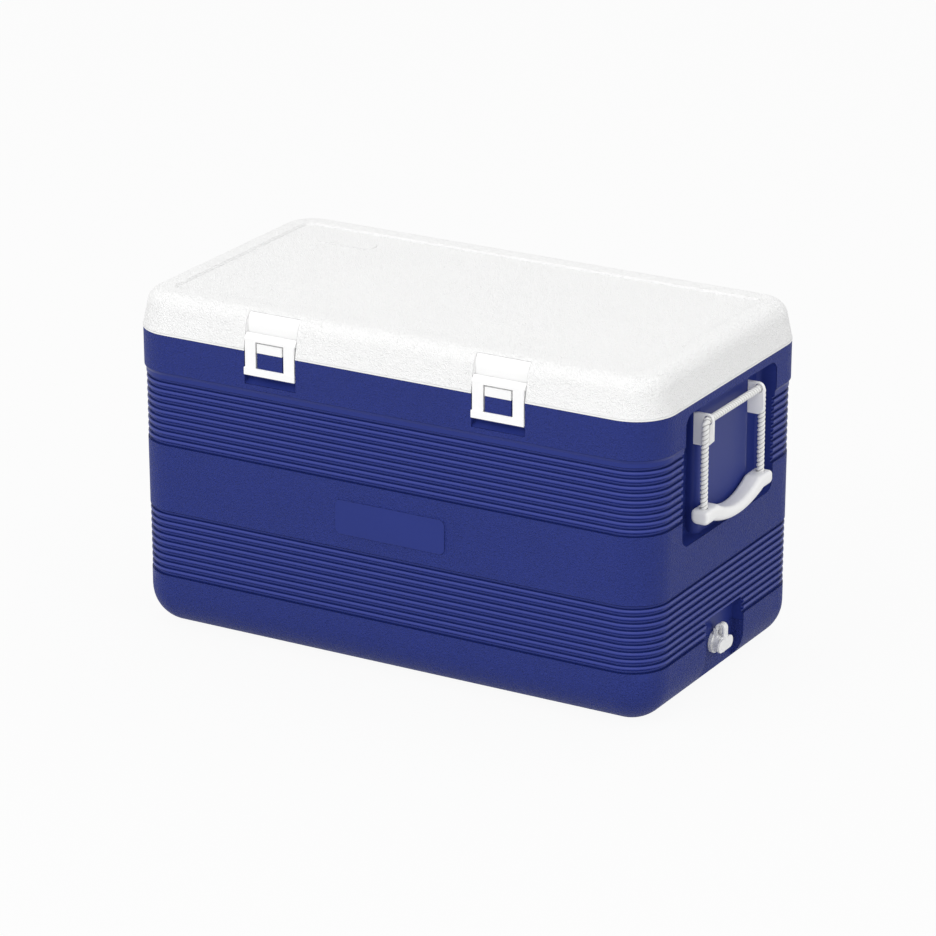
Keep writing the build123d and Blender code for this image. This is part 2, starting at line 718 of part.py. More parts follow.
for name, planes in (("body", body_screw_planes), ("lid", lid_screw_planes)):
    hinge_screws = screw_group(planes)
    hinge_screws.label = "hinge_screws_" + name
    export_step(hinge_screws, "parts/" + hinge_screws.label + ".step")

# ---- Latches ----
bar_top_z = rim - latch_bar_top
bar_low_z = bar_top_z - latch_bar_height
window_top_z = rim + latch_window_top
latch_top_z = rim + latch_top
head_low_z = rim + latch_head_low

for name, x in latch_places:
    with BuildPart() as latch:
        frame_profile = [(latch_face, bar_low_z), (latch_face, head_low_z), (latch_back, head_low_z),
                         (latch_back, bar_low_z)]
        add(side_plate(frame_profile, x - latch_width / 2, x + latch_width / 2))
        head_profile = [
            (latch_face, head_low_z), (latch_face, latch_top_z - latch_facet),
            (latch_face + latch_facet, latch_top_z), (latch_back - latch_shoulder, latch_top_z),
            (latch_back, latch_top_z - 2 * latch_shoulder), (latch_back, head_low_z)]
        add(side_plate(head_profile, x - latch_bar_width / 2, x + latch_bar_width / 2))
        window_profile = [
            (latch_face - 1, bar_low_z - 1), (latch_face - 1, window_top_z),
            (latch_back - latch_window_slope, window_top_z),
            (latch_back, window_top_z + latch_window_slope),
            (latch_back + 1, window_top_z + latch_window_slope), (latch_back + 1, bar_low_z - 1)]
        add(side_plate(window_profile, x - latch_window_width / 2, x + latch_window_width / 2),
            mode=Mode.SUBTRACT)
        bar_profile = [(bar_front, bar_low_z), (bar_front, bar_top_z - latch_bar_edge),
                       (bar_front + latch_bar_edge, bar_top_z), (bar_back, bar_top_z),
                       (bar_back, bar_low_z)]
        add(side_plate(bar_profile, x - latch_bar_width / 2, x + latch_bar_width / 2))
        add(cylinder_x(latch_pin_y, latch_pin_z, latch_pin_radius + pin_play, x - latch_width,
                       x + latch_width), mode=Mode.SUBTRACT)
    latch.part.label = "latch_" + name
    export_step(latch.part, "parts/" + latch.part.label + ".step")

    latch_pin = cylinder_x(latch_pin_y, latch_pin_z, latch_pin_radius, x - latch_pin_half,
                           x + latch_pin_half)
    latch_pin.label = "latch_pin_" + name
    export_step(latch_pin, "parts/" + latch_pin.label + ".step")

# ---- Handles ----
hole_radius = rope_radius + rope_play


def ear(side, face):
    """Upright ear on the pad, with the hole for the rope."""
    inner = face * (ear_face - ear_thickness)
    with BuildPart() as plate:
        with BuildSketch(Plane(origin=(0, inner, 0), x_dir=(side, 0, 0), z_dir=(0, face, 0))) as outline:
            with BuildLine():
                tip = pad_x + ear_reach
                low = ear_top - ear_height
                up = 1 if side * face < 0 else -1
                Polyline((pad_x, up * low), (tip - ear_chamfer, up * low),
                         (tip, up * (low + ear_chamfer)), (tip, up * ear_top),
                         (pad_x, up * ear_top), (pad_x, up * low))
            make_face()
            fillet(outline.vertices().sort_by_distance((tip, up * ear_top, 0))[0], ear_round)
            with Locations((rope_x, up * rope_z)):
                Circle(hole_radius, mode=Mode.SUBTRACT)
        extrude(amount=ear_thickness)
        with BuildSketch(Plane(origin=(side * pad_x, 0, 0), x_dir=(0, side, 0), z_dir=(-side, 0, 0))):
            with Locations((side * face * (ear_face - ear_thickness / 2), -ear_middle)):
                Rectangle(ear_tenon_thickness, ear_tenon_height)
        extrude(amount=ear_tenon_depth)
    return plate.part


for side, side_name in ((-1, "left"), (1, "right")):
    for face, face_name in ((-1, "front"), (1, "rear")):
        handle_ear = ear(side, face)
        handle_ear.label = "handle_ear_" + side_name + "_" + face_name
        export_step(handle_ear, "parts/" + handle_ear.label + ".step")

# The rope runs up from the grip, turns in through both ears and comes down again.
rope_foot = grip_top - grip_bore_depth + grip_bore_play
with BuildPart() as rope_right:
    with BuildLine(Plane.YZ.offset(rope_x)) as route:
        Line((-leg_y, rope_foot), (-leg_y, rope_z - rope_bend))
        CenterArc((-leg_y + rope_bend, rope_z - rope_bend), rope_bend, 180, -90)
        Line((-leg_y + rope_bend, rope_z), (leg_y - rope_bend, rope_z))
        CenterArc((leg_y - rope_bend, rope_z - rope_bend), rope_bend, 90, -90)
        Line((leg_y, rope_z - rope_bend), (leg_y, rope_foot))
    with BuildSketch(Plane(origin=(rope_x, -leg_y, rope_foot), x_dir=(1, 0, 0), z_dir=(0, 0, 1))) as cut:
        Circle(rope_radius)
    sweep(sections=cut.sketch, path=route.line)

# The grip is straight under the ropes and bows down between them, with a flat top all along.
grip_tip = leg_y + grip_end
grip_base = grip_top - grip_height
underside = [(-grip_tip, grip_base), (-grip_bow_half, grip_base), (0, grip_base - grip_bow),
             (grip_bow_half, grip_base), (grip_tip, grip_base)]
dip = [(-grip_dip_half, grip_top), (0, grip_top - grip_dip), (grip_dip_half, grip_top)]
with BuildPart() as grip_right:
    with BuildSketch(Plane.YZ.offset(rope_x - grip_width / 2)):
        with BuildLine():
            Line(underside[0], underside[1])
            ThreePointArc(*underside[1:4])
            Polyline(underside[3], underside[4], (grip_tip, grip_top), dip[2])
            ThreePointArc(*dip)
            Polyline(dip[0], (-grip_tip, grip_top), underside[0])
        make_face()
    extrude(amount=grip_width)
    long_edges = [edge for edge in grip_right.edges()
                  if edge.length > grip_tip - grip_bow_half - 1 and edge.center().Z < grip_base + 1
                  and abs(edge.center().X - rope_x) > grip_width / 2 - 1]
    fillet(long_edges, grip_corner)
    tip_faces = grip_right.faces().sort_by(Axis.Y)
    fillet(tip_faces[0].edges() + tip_faces[-1].edges(), grip_end_round)
    for y in (-leg_y, leg_y):
        with BuildSketch(Plane(origin=(rope_x, y, grip_top), z_dir=(0, 0, -1))):
            Circle(rope_radius + grip_bore_play)
        extrude(amount=grip_bore_depth, mode=Mode.SUBTRACT)

for name, piece in (("handle_rope", rope_right.part), ("handle_grip", grip_right.part)):
    for side_name, solid in (("right", piece), ("left", mirror(piece, about=Plane.YZ))):
        solid.label = name + "_" + side_name
        export_step(solid, "parts/" + solid.label + ".step")

# ---- Drain ----
tube_end = drain_seat_x - drain_washer_thickness - drain_nut_thickness - drain_tube_end
cheek_y = strap_width / 2 + stopper_gap + strap_cheek / 2
cheek_front = strap_pivot_x + strap_cheek_round
cheek_top = strap_pivot_z + strap_cheek_round
with BuildPart() as drain_spout:
    add(cylinder_x(0, drain_z, drain_tube, tube_end, recess_x))
    add(cylinder_x(0, drain_z, drain_flange, recess_x, flange_x))
    add(cylinder_x(0, drain_z, drain_mouth, flange_x, drain_mouth_x))
    for side in (-1, 1):
        with BuildSketch(Plane.XZ.offset(side * cheek_y)) as cheek:
            with Locations((flange_x, drain_z)):
                Rectangle(cheek_front - flange_x, cheek_top - drain_z, align=(Align.MIN, Align.MIN))
            fillet(cheek.vertices().sort_by_distance((cheek_front, cheek_top, 0))[0], strap_cheek_round)
            with Locations((strap_pivot_x, strap_pivot_z)):
                Circle(strap_pin_radius + pin_play, mode=Mode.SUBTRACT)
        extrude(amount=strap_cheek / 2, both=True)
    add(cylinder_x(0, drain_z, drain_bore, tube_end, drain_mouth_x), mode=Mode.SUBTRACT)
drain_spout.part.label = "drain_spout"

with BuildPart() as drain_washer_ring:
    add(cylinder_x(0, drain_z, drain_washer, drain_seat_x - drain_washer_thickness, drain_seat_x))
    add(cylinder_x(0, drain_z, drain_tube, 0, end), mode=Mode.SUBTRACT)
drain_washer_ring.part.label = "drain_washer"

with BuildPart() as drain_nut_hex:
    nut_x = drain_seat_x - drain_washer_thickness
    with BuildSketch(Plane(origin=(nut_x, 0, drain_z), x_dir=(0, 1, 0), z_dir=(-1, 0, 0))):
        RegularPolygon(drain_nut, 6, major_radius=False)
        Circle(drain_tube, mode=Mode.SUBTRACT)
    extrude(amount=drain_nut_thickness)
drain_nut_hex.part.label = "drain_nut"

# The stopper hangs on a strap that arches over from its pivot above the mouth.
stopper_x = drain_mouth_x + stopper_gap
tab_x = stopper_x + stopper_thickness
tab_front = tab_x + tab_thickness
arch_radius = (tab_front - strap_pivot_x + tab_thickness / 2) / 2
arch_x = tab_front - arch_radius
arch_z = strap_pivot_z + strap_rise
pin_half = cheek_y + strap_cheek / 2
with BuildPart() as drain_plug:
    add(cylinder_x(0, drain_z, stopper_radius, stopper_x, tab_x))
    add(cylinder_x(0, drain_z, drain_bore - stopper_nose_play, stopper_x - stopper_nose, stopper_x))
    with BuildSketch(Plane(origin=(tab_x, 0, drain_z), x_dir=(0, 1, 0), z_dir=(1, 0, 0))):
        SlotOverall(tab_length, tab_height)
    extrude(amount=tab_thickness)
    with BuildSketch(Plane.XZ.offset(-strap_width / 2)):
        with BuildLine():
            outer = CenterArc((arch_x, arch_z), arch_radius, 0, 180)
            inner = CenterArc((arch_x, arch_z), arch_radius - tab_thickness, 0, 180)
            foot = CenterArc((strap_pivot_x, strap_pivot_z), tab_thickness / 2, 180, 180)
            Line(outer @ 1, foot @ 0)
            Line(foot @ 1, inner @ 1)
            Polyline(outer @ 0, (tab_front, drain_z), (tab_x, drain_z), inner @ 0)
        make_face()
    extrude(amount=strap_width)
    with BuildSketch(Plane.XZ.offset(-strap_groove_width / 2)):
        with Locations((arch_x, arch_z)):
            Circle(arch_radius + 1)
            Circle(arch_radius - strap_groove_depth, mode=Mode.SUBTRACT)
            Rectangle(4 * arch_radius, 2 * arch_radius, align=(Align.CENTER, Align.MIN),
                      mode=Mode.INTERSECT)
        with Locations((tab_front - strap_groove_depth, arch_z)):
            Rectangle(1, arch_z - drain_z - tab_height / 2, align=(Align.MIN, Align.MAX))
    extrude(amount=strap_groove_width, mode=Mode.SUBTRACT)
    add(rod(Plane(origin=(strap_pivot_x, 0, strap_pivot_z), z_dir=(0, 1, 0)), strap_pin_radius,
            -pin_half, pin_half))
drain_plug.part.label = "drain_plug"

for piece in (body_shell, body_liner, body_foam, lid_shell, lid_liner, lid_foam, lid_seal,
              drain_spout, drain_washer_ring, drain_nut_hex, drain_plug):
    export_step(piece.part, "parts/" + piece.part.label + ".step")
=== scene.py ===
import bmesh
import bpy
import json
from math import cos, pi, radians, sin, tan
from mathutils import Matrix, Vector


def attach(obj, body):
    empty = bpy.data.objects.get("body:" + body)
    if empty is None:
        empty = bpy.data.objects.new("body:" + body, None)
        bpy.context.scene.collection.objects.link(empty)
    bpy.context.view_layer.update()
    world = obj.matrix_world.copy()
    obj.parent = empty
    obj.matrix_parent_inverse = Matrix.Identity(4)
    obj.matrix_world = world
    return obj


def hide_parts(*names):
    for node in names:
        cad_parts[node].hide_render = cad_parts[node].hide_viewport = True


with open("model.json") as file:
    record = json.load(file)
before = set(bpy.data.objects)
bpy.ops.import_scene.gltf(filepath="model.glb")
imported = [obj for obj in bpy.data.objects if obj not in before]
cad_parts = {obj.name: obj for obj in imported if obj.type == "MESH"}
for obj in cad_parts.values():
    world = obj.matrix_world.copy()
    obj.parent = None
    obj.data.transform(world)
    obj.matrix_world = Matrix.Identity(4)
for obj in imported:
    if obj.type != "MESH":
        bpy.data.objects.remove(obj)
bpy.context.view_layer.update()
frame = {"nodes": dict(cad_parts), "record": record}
nodes = frame["nodes"]
scene = bpy.context.scene
mm = 0.001

# Sizes of the carrier, in millimetres: its rim is the seam between body and lid.
rim = 371.5
body_length = 700.0
body_width = 384.0
corner_radius = 50.7
body_draft = 0.3
band_low = 325.3           # lower edge of the plain band round the rim
band_step = 2.1            # walls below the band behind it
shoulder_low = 316.4       # top of the first groove under the band
first_ledges = (311.7, 146.1)      # top edge of the upper and of the lower band's first rib
rib_pitch = 8.667
rib_count = 10
rib_lead = 4.7             # ribbed wall over a first ledge
groove_drop = 3.2
latch_x = 151.5
latch_half = 34.85         # half the width of a latch's lug on the lid
lug_rise = 44.6            # of that lug over the rim
lip_rise = 2.5             # smooth lip at the foot of the lid

rope_radius = 4.5
strand_count = 2
strand_pitch = 5.35        # strand to strand along a rope
strand_depth = 1.5         # groove between strands
leg_y = 71.9               # of a rope's legs, to the middle of the handle
rope_x = 352.0             # plane of a handle
rope_z = 342.0             # axis of the rope through the ears
rope_bend = 6.0
rope_foot = 230.0

pad_x = 339.4              # face of the pad in a handle pocket
ear_face = 66.2            # outer face of an ear, to the middle of the handle
ear_thickness = 4.4
ear_tip = pad_x + 19.8
ear_top = rim - 22.0
ear_low = ear_top - 38.8
ear_foot = 7.0             # of an ear, into the rounded edge of the pad
ear_chamfer = 7.0
ear_round = 7.5
ear_edge = 0.9
ear_play = 0.9             # round the rope

grip_top = rim - 133.1
grip_base = grip_top - 17.4
grip_half = 11.7           # half the width
grip_tip = leg_y + 11.2
dip_half = 52.0            # dip in a grip's top
dip_depth = 14.4
belly_half = 61.0          # bow of its underside
belly_depth = 11.7
end_round = 4.8
grip_top_round = 4.4       # rounding of the long upper edges
grip_swell = 1.6           # more of it in the middle
grip_low_round = 7.6
bore_radius = 5.1
bore_depth = 9.0

# Colours, linear, dark and light.
blue = ((0.0150, 0.0260, 0.148), (0.0240, 0.0390, 0.234))
white = ((0.880, 0.880, 0.878), (0.915, 0.915, 0.912))
# Painted light and shade for the ribs' outer faces, by height within each rib: lighter crests and groove
# bottoms, darker flanks, slopes and ledges.
rib_crest_painted_highlight = (0.044, 0.060, 0.275)
rib_flank_painted_shade = (0.018, 0.031, 0.200)
rib_slope_painted_shade = (0.003, 0.012, 0.158)
rib_groove_painted_highlight = (0.030, 0.045, 0.222)
rib_ledge_painted_shade = (0.007, 0.016, 0.120)


# ---- Shader helpers ----
def node(tree, kind, sockets=None, **settings):
    """New shader node. A socket's value is a number, a colour or another node's output."""
    made = tree.nodes.new(kind)
    for key, value in settings.items():
        setattr(made, key, value)
    for key, value in (sockets or {}).items():
        if isinstance(value, bpy.types.NodeSocket):
            tree.links.new(value, made.inputs[key])
        else:
            made.inputs[key].default_value = value
    return made


def math(tree, operation, a, b=0.0, clamp=False):
    """Output of a Math node."""
    return node(tree, "ShaderNodeMath", {0: a, 1: b}, operation=operation, use_clamp=clamp).outputs[0]


def step(tree, value, low, high):
    """0 where value is under low, 1 over high, smooth between."""
    made = node(tree, "ShaderNodeMapRange", {"Value": value, "From Min": low, "From Max": high},
                interpolation_type="SMOOTHSTEP")
    return made.outputs["Result"]


def new_material(name, roughness, specular=0.5):
    """Material with a Principled shader: (material, tree, shader, object coordinates)."""
    material = bpy.data.materials.new(name)
    material.use_nodes = True
    tree = material.node_tree
    shader = tree.nodes["Principled BSDF"]
    shader.inputs["Roughness"].default_value = roughness
    shader.inputs["Specular IOR Level"].default_value = specular
    place = node(tree, "ShaderNodeTexCoord").outputs["Object"]
    return material, tree, shader, place


def noise(tree, place, scale, detail=2.0, roughness=0.5):
    """Noise texture's factor at a place, scale in features per metre."""
    return node(tree, "ShaderNodeTexNoise", {"Vector": place, "Scale": scale, "Detail": detail,
                                             "Roughness": roughness}).outputs["Fac"]


def streaked(tree, place, direction, stretch):
    """Coordinates in which a texture is drawn out along a direction."""
    turn = Vector((1, 0, 0)).rotation_difference(Vector(direction).normalized()).to_euler()
    return node(tree, "ShaderNodeMapping", {"Vector": place, "Rotation": turn,
                                            "Scale": (stretch, 1, 1)}, vector_type="TEXTURE").outputs[0]


def colour(tree, factor, dark, light):
    """Colour between two, by a factor."""
    made = tree.nodes.new("ShaderNodeMix")
    made.data_type = "RGBA"
    tree.links.new(factor, made.inputs[0])
    made.inputs[6].default_value = dark + (1.0,)
    made.inputs[7].default_value = light + (1.0,)
    return made.outputs[2]


def bump(tree, height, distance, strength, normal=None):
    """Bump from a height, distance in metres, on top of another normal where one is given."""
    sockets = {"Height": height, "Distance": distance, "Strength": strength}
    if normal is not None:
        sockets["Normal"] = normal
    return node(tree, "ShaderNodeBump", sockets).outputs["Normal"]


def rounded(tree, radius):
    """Normal that rounds sharp edges by a radius in millimetres."""
    return node(tree, "ShaderNodeBevel", {"Radius": radius * mm}, samples=4).outputs[0]


def ramp(tree, factor, stops):
    """Colour that runs through stops, (place, colour) with places from 0 to 1."""
    made = node(tree, "ShaderNodeValToRGB", {"Fac": factor})
    row = made.color_ramp.elements
    while len(row) < len(stops):
        row.new(0.5)
    for element, (at, value) in zip(row, stops):
        element.position = at
        element.color = (*value, 1)
    return made.outputs[0]


# ---- Materials ----
def leather(tree, place):
    """Height of a fine moulded leather grain: small cells and slanting creases."""
    slanted = streaked(tree, place, (0.55, -0.55, 0.63), 2.0)
    creases = noise(tree, slanted, 540.0, 2.0, 0.6)
    cells = node(tree, "ShaderNodeTexVoronoi", {"Vector": slanted, "Scale": 800.0, "Smoothness": 0.5},
                 feature="SMOOTH_F1").outputs["Distance"]
    return math(tree, "ADD", creases, math(tree, "MULTIPLY", cells, 0.45))


def body_reach(tree, place):
    """Distance out from the corner axes of the drafted walls, and the height."""
    split = node(tree, "ShaderNodeSeparateXYZ", {"Vector": place})
    height = split.outputs["Z"]
    shrink = math(tree, "MULTIPLY", math(tree, "SUBTRACT", rim * mm, height), tan(radians(body_draft)))
    squares = []
    for axis, size in (("X", body_length), ("Y", body_width)):
        flat = (size / 2 - corner_radius) * mm
        beyond = math(tree, "SUBTRACT", math(tree, "ABSOLUTE", split.outputs[axis]), flat)
        beyond = math(tree, "MAXIMUM", math(tree, "ADD", beyond, shrink), 0.0)
        squares.append(math(tree, "MULTIPLY", beyond, beyond))
    return math(tree, "SQRT", math(tree, "ADD", squares[0], squares[1])), height


def between(tree, value, low, high, soft=0.2):
    """1 where a value in metres is between two in millimetres."""
    return math(tree, "SUBTRACT", step(tree, value, (low - soft) * mm, (low + soft) * mm),
                step(tree, value, (high - soft) * mm, (high + soft) * mm), clamp=True)


def rib_zones(tree, height):
    """1 where the ribs are, and the place from 0 to 1 between a rib's ledge and the next one's."""
    inside, phase = 0.0, 0.0
    for ledge in first_ledges:
        zone = between(tree, height, ledge - rib_pitch * (rib_count - 1), ledge + rib_lead)
        down = math(tree, "DIVIDE", math(tree, "SUBTRACT", ledge * mm, height), rib_pitch * mm)
        inside = math(tree, "ADD", inside, zone)
        phase = math(tree, "ADD", phase, math(tree, "MULTIPLY", math(tree, "FRACT", down), zone))
    return inside, phase


def body_plastic():
    """Blue plastic: leather grain on the plain walls, smooth ribs with painted light and shade: lighter
    crests and groove bottoms, darker slopes and ledges.
    """
    material, tree, shader, place = new_material("body_plastic_blue", 0.42, 0.16)
    reach, height = body_reach(tree, place)
    ribs, phase = rib_zones(tree, height)
    wall = corner_radius - band_step
    on_band = step(tree, height, (band_low - 0.6) * mm, (band_low - 0.2) * mm)
    level = math(tree, "SUBTRACT", reach, math(tree, "MULTIPLY", on_band, band_step * mm))
    outside = between(tree, level, wall - 0.7, wall + 0.55)
    shoulder = between(tree, height, shoulder_low, band_low)
    plain = math(tree, "SUBTRACT", outside, ribs, clamp=True)
    plain = math(tree, "SUBTRACT", plain, shoulder, clamp=True)
    under = math(tree, "SUBTRACT", 1.0, step(tree, height, 0.0575, 0.0590))
    plain = math(tree, "MAXIMUM", plain, under)
    grain = math(tree, "MULTIPLY", leather(tree, place), plain)
    mottle = noise(tree, place, 14.0, 3.0)
    relief = math(tree, "SUBTRACT", grain, math(tree, "MULTIPLY", plain, 0.7))
    tone = math(tree, "ADD", math(tree, "MULTIPLY", mottle, 0.3), math(tree, "ADD", relief, 0.35))
    base = colour(tree, tone, blue[0], blue[1])
    near_wall = step(tree, reach, (wall - groove_drop - 0.7) * mm, (wall - groove_drop - 0.3) * mm)
    # Painted light and shade along each rib's profile, on the ribs' outer faces only.
    shade = ramp(tree, phase, (
        (0.0, rib_ledge_painted_shade), (0.09, rib_crest_painted_highlight), (0.22, rib_crest_painted_highlight), (0.38, rib_flank_painted_shade), (0.46, rib_slope_painted_shade),
        (0.60, rib_slope_painted_shade), (0.68, rib_groove_painted_highlight), (0.82, rib_groove_painted_highlight), (0.93, rib_ledge_painted_shade)))
    mixed = node(tree, "ShaderNodeMix", {0: math(tree, "MULTIPLY", ribs, near_wall), 6: base, 7: shade},
                 data_type="RGBA")
    tree.links.new(mixed.outputs[2], shader.inputs["Base Color"])
    rough = math(tree, "ADD", math(tree, "MULTIPLY", plain, 0.16), math(tree, "MULTIPLY", mottle, 0.08))
    tree.links.new(math(tree, "ADD", rough, 0.34), shader.inputs["Roughness"])
    tree.links.new(bump(tree, grain, 2.0 * mm, 1.0, rounded(tree, 0.5)), shader.inputs["Normal"])
    return material


def lid_plastic():
    """White plastic: leather grain, smooth on the lip and on the two lugs of the latches."""
    material, tree, shader, place = new_material("lid_plastic_white", 0.5, 0.4)
    split = node(tree, "ShaderNodeSeparateXYZ", {"Vector": place})
    aside = math(tree, "SUBTRACT", math(tree, "ABSOLUTE", split.outputs["X"]), latch_x * mm)
    beside = step(tree, math(tree, "ABSOLUTE", aside), (latch_half - 0.15) * mm,
                  (latch_half + 0.15) * mm)
    over = step(tree, split.outputs["Z"], (rim + lug_rise - 0.3) * mm,
                (rim + lug_rise + 0.3) * mm)
    behind = step(tree, split.outputs["Y"], -0.150, -0.149)
    outside = math(tree, "MAXIMUM", beside, math(tree, "MAXIMUM", over, behind))
    above_lip = step(tree, split.outputs["Z"], (rim + lip_rise - 0.3) * mm,
                     (rim + lip_rise + 0.3) * mm)
    plain = math(tree, "MULTIPLY", outside, above_lip)
    grain = math(tree, "MULTIPLY", leather(tree, place), plain)
    mottle = noise(tree, place, 10.0, 3.0)
    tone = math(tree, "ADD", math(tree, "MULTIPLY", mottle, 0.5), math(tree, "MULTIPLY", grain, 0.35))
    tree.links.new(colour(tree, tone, white[0], white[1]), shader.inputs["Base Color"])
    rough = math(tree, "ADD", math(tree, "MULTIPLY", plain, 0.12), math(tree, "MULTIPLY", mottle, 0.08))
    tree.links.new(math(tree, "ADD", rough, 0.36), shader.inputs["Roughness"])
    tree.links.new(bump(tree, grain, 1.8 * mm, 1.0, rounded(tree, 0.8)), shader.inputs["Normal"])
    return material


def smooth_plastic(name, dark, light, roughness, specular=0.45, texture=420.0, depth=0.02):
    """Smooth moulded plastic with a faint flow mottle and a very fine surface."""
    material, tree, shader, place = new_material(name, roughness, specular)
    mottle = noise(tree, place, 30.0, 4.0, 0.55)
    tree.links.new(colour(tree, mottle, dark, light), shader.inputs["Base Color"])
    fine = noise(tree, place, texture, 3.0, 0.6)
    spread = math(tree, "MULTIPLY", math(tree, "ADD", mottle, fine), 0.08)
    tree.links.new(math(tree, "ADD", spread, roughness - 0.08), shader.inputs["Roughness"])
    tree.links.new(bump(tree, fine, depth * mm, 0.5, rounded(tree, 0.6)), shader.inputs["Normal"])
    return material


def foam_material():
    """Cream foam with fine cells."""
    material, tree, shader, place = new_material("foam_cream", 0.9, 0.2)
    cells = node(tree, "ShaderNodeTexVoronoi", {"Vector": place, "Scale": 1400.0})
    tree.links.new(colour(tree, cells.outputs["Distance"], (0.62, 0.52, 0.30), (0.84, 0.74, 0.50)),
                   shader.inputs["Base Color"])
    tree.links.new(bump(tree, cells.outputs["Distance"], 0.3 * mm, 0.7), shader.inputs["Normal"])
    return material


def rubber_material(name, dark, light):
    """Matte rubber with a fine surface."""
    material, tree, shader, place = new_material(name, 0.72, 0.35)
    fine = noise(tree, place, 900.0, 3.0, 0.6)
    tree.links.new(colour(tree, noise(tree, place, 40.0, 3.0), dark, light), shader.inputs["Base Color"])
    tree.links.new(bump(tree, fine, 0.05 * mm, 0.6), shader.inputs["Normal"])
    return material


def steel_material():
    """Brushed steel."""
    material, tree, shader, place = new_material("steel_brushed", 0.3, 0.5)
    shader.inputs["Metallic"].default_value = 1.0
    lines = noise(tree, streaked(tree, place, (1, 0, 0), 40.0), 3000.0, 2.0)
    tree.links.new(colour(tree, lines, (0.46, 0.46, 0.47), (0.62, 0.62, 0.63)),
                   shader.inputs["Base Color"])
    tree.links.new(math(tree, "ADD", math(tree, "MULTIPLY", lines, 0.2), 0.2),
                   shader.inputs["Roughness"])
    tree.links.new(bump(tree, lines, 0.01 * mm, 0.4), shader.inputs["Normal"])
    return material


def rope_material():
    """White nylon: fine fibres that follow the strands, in UV millimetres round and along, with painted
    shade in the grooves between the strands.
    """
    material, tree, shader, place = new_material("rope_fibre_white", 0.62, 0.35)
    flat = node(tree, "ShaderNodeTexCoord").outputs["UV"]
    along = node(tree, "ShaderNodeMapping", {"Vector": flat, "Rotation": (0, 0, radians(-38)),
                                             "Scale": (9.0, 1.0, 1.0)}, vector_type="TEXTURE").outputs[0]
    fibres = noise(tree, along, 4.5, 3.0, 0.6)
    split = node(tree, "ShaderNodeSeparateXYZ", {"Vector": flat})
    turn = math(tree, "MULTIPLY", split.outputs["X"], strand_count / (2 * rope_radius))
    turn = math(tree, "SUBTRACT", turn, math(tree, "MULTIPLY", split.outputs["Y"], pi / strand_pitch))
    crown = math(tree, "ABSOLUTE", math(tree, "COSINE", turn))
    # Painted shade: dark grey in the grooves between the strands, where the strands' crown is low.
    painted_groove_shade = math(tree, "SUBTRACT", 1.0, step(tree, crown, 0.0, 0.55))
    fibre = colour(tree, fibres, (0.80, 0.80, 0.785), (0.92, 0.92, 0.905))
    base = node(tree, "ShaderNodeMix", {0: painted_groove_shade, 6: fibre, 7: (0.42, 0.42, 0.41, 1)}, data_type="RGBA")
    tree.links.new(base.outputs[2], shader.inputs["Base Color"])
    shader.inputs["Sheen Weight"].default_value = 0.15
    tree.links.new(bump(tree, fibres, 0.16 * mm, 0.5), shader.inputs["Normal"])
    return material


materials = {
    "body_plastic": body_plastic(),
    "lid_plastic": lid_plastic(),
    "liner_plastic": smooth_plastic("liner_plastic_white", (0.78, 0.78, 0.77), (0.83, 0.83, 0.82), 0.42),
    "foam": foam_material(),
    "seal_rubber": rubber_material("seal_rubber_grey", (0.28, 0.28, 0.29), (0.36, 0.36, 0.37)),
    "latch_plastic": smooth_plastic("latch_plastic_white", white[0], white[1], 0.36),
    "hinge_plastic": smooth_plastic("hinge_plastic_white", white[0], white[1], 0.42),
    "steel": steel_material(),
    "ear_plastic": smooth_plastic("ear_plastic_white", white[0], white[1], 0.40),
    "rope_fibre": rope_material(),
    "grip_plastic": smooth_plastic("grip_plastic_white", white[0], white[1], 0.38),
    "drain_plastic": smooth_plastic("drain_plastic_white", white[0], white[1], 0.40),
    "washer_rubber": rubber_material("washer_rubber_black", (0.012, 0.012, 0.013), (0.03, 0.03, 0.032)),
}
for entry in frame["record"]["subparts"]:
    mesh = nodes[entry["node"]].data
    mesh.materials.clear()
    mesh.materials.append(materials[entry["material_slot"]])


def finish_piece(piece, slot, body, *replaced):
    """Gives a piece the material that a slot names, where it has none yet, and makes it ride on a body.
    """
    if not piece.data.materials:
        piece.data.materials.append(materials[slot])
    scene.collection.objects.link(piece)
    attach(piece, body)
    if replaced:
        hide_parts(*replaced)


# ---- Ears of the handles ----
def arc(centre, radius, first, last, count):
    """Points on an arc, angles in degrees."""
    turns = [radians(first + (last - first) * i / count) for i in range(count + 1)]
    return [Vector((centre[0] + radius * cos(t), centre[1] + radius * sin(t))) for t in turns]


def inset(loop, amount):
    """A closed loop moved to its left by an amount at each corner."""
    moved = []
    for i, point in enumerate(loop):
        before = (point - loop[i - 1]).normalized()
        after = (loop[(i + 1) % len(loop)] - point).normalized()
        left = Vector((-before.y - after.y, before.x + after.x)).normalized()
        moved.append(point + left * (amount / max(0.35, left.dot(Vector((-before.y, before.x))))))
    return moved


def smooth_object(name, mesh, sharp):
    """Object with a smooth mesh that keeps its sharp edges, from an angle in degrees on."""
    mesh.polygons.foreach_set("use_smooth", [True] * len(mesh.polygons))
    mesh.set_sharp_from_angle(angle=radians(sharp))
    return bpy.data.objects.new(name, mesh)


